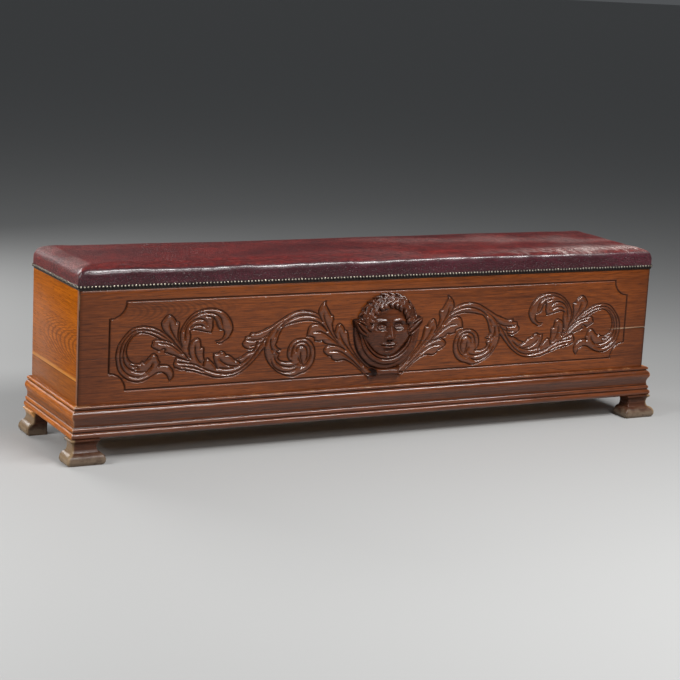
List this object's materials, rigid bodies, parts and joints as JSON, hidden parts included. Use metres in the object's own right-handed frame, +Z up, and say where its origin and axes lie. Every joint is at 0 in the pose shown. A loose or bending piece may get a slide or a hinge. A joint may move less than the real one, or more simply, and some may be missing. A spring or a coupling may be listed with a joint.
{
  "type": "coffer bench",
  "caption": "Long carved oak box seat on moulded ogee feet, with a hinged leather-covered lid, close-nailed edge, scrolling acanthus front and a central mask.",
  "frame": {"origin": "on the floor, under the middle of the whole outline in plan", "axes": "+X along the bench to the right seen from the front, +Y towards the hinged back, +Z up; the carved front faces -Y"},
  "size_m": [1.882, 0.412, 0.5166],
  "materials": {
    "oak": "waxed, worn, red-brown",
    "pine": "bare, aged",
    "leather": "oxblood, polished, scuffed",
    "horsehair": "loose hair",
    "nail_brass": "dark antique",
    "hinge_iron": "dark, oiled"
  },
  "bodies": {
    "case": {"front_lower_board": "oak", "front_upper_board": "oak", "left_end_lower_board": "oak", "left_end_upper_board": "oak", "right_end_lower_board": "oak", "right_end_upper_board": "oak", "back_lower_board": "oak", "back_upper_board": "oak", "floor_plank_1": "pine", "floor_plank_2": "pine", "floor_plank_3": "pine", "front_ledger": "pine", "back_ledger": "pine", "left_ledger": "pine", "right_ledger": "pine", "left_bearer": "pine", "right_bearer": "pine", "floor_nails": "hinge_iron", "front_plinth_moulding": "oak", "left_plinth_moulding": "oak", "right_plinth_moulding": "oak", "front_left_foot": "oak", "front_right_foot": "oak", "back_left_foot": "oak", "back_right_foot": "oak", "foot_dowels": "oak", "mask": "oak", "drape_roll": "oak", "left_hinge_case_leaf": "hinge_iron", "centre_hinge_case_leaf": "hinge_iron", "right_hinge_case_leaf": "hinge_iron", "left_hinge_pin": "hinge_iron", "centre_hinge_pin": "hinge_iron", "right_hinge_pin": "hinge_iron", "hinge_case_screws": "hinge_iron"},
    "lid": {"lid_front_board": "pine", "lid_back_board": "pine", "lid_cleat_left": "pine", "lid_cleat_centre": "pine", "lid_cleat_right": "pine", "cleat_screws": "hinge_iron", "seat_stuffing": "horsehair", "leather_cover": "leather", "front_nails": "nail_brass", "back_nails": "nail_brass", "left_nails": "nail_brass", "right_nails": "nail_brass", "left_hinge_lid_leaf": "hinge_iron", "centre_hinge_lid_leaf": "hinge_iron", "right_hinge_lid_leaf": "hinge_iron", "hinge_lid_screws": "hinge_iron"}
  },
  "joints": [
    {"name": "lid_hinge", "type": "hinge", "parent": "case", "child": "lid", "pos_m": [0, 0.201, 0.4533], "axis": [-1, 0, 0], "range_deg": [0, 100]}
  ]
}
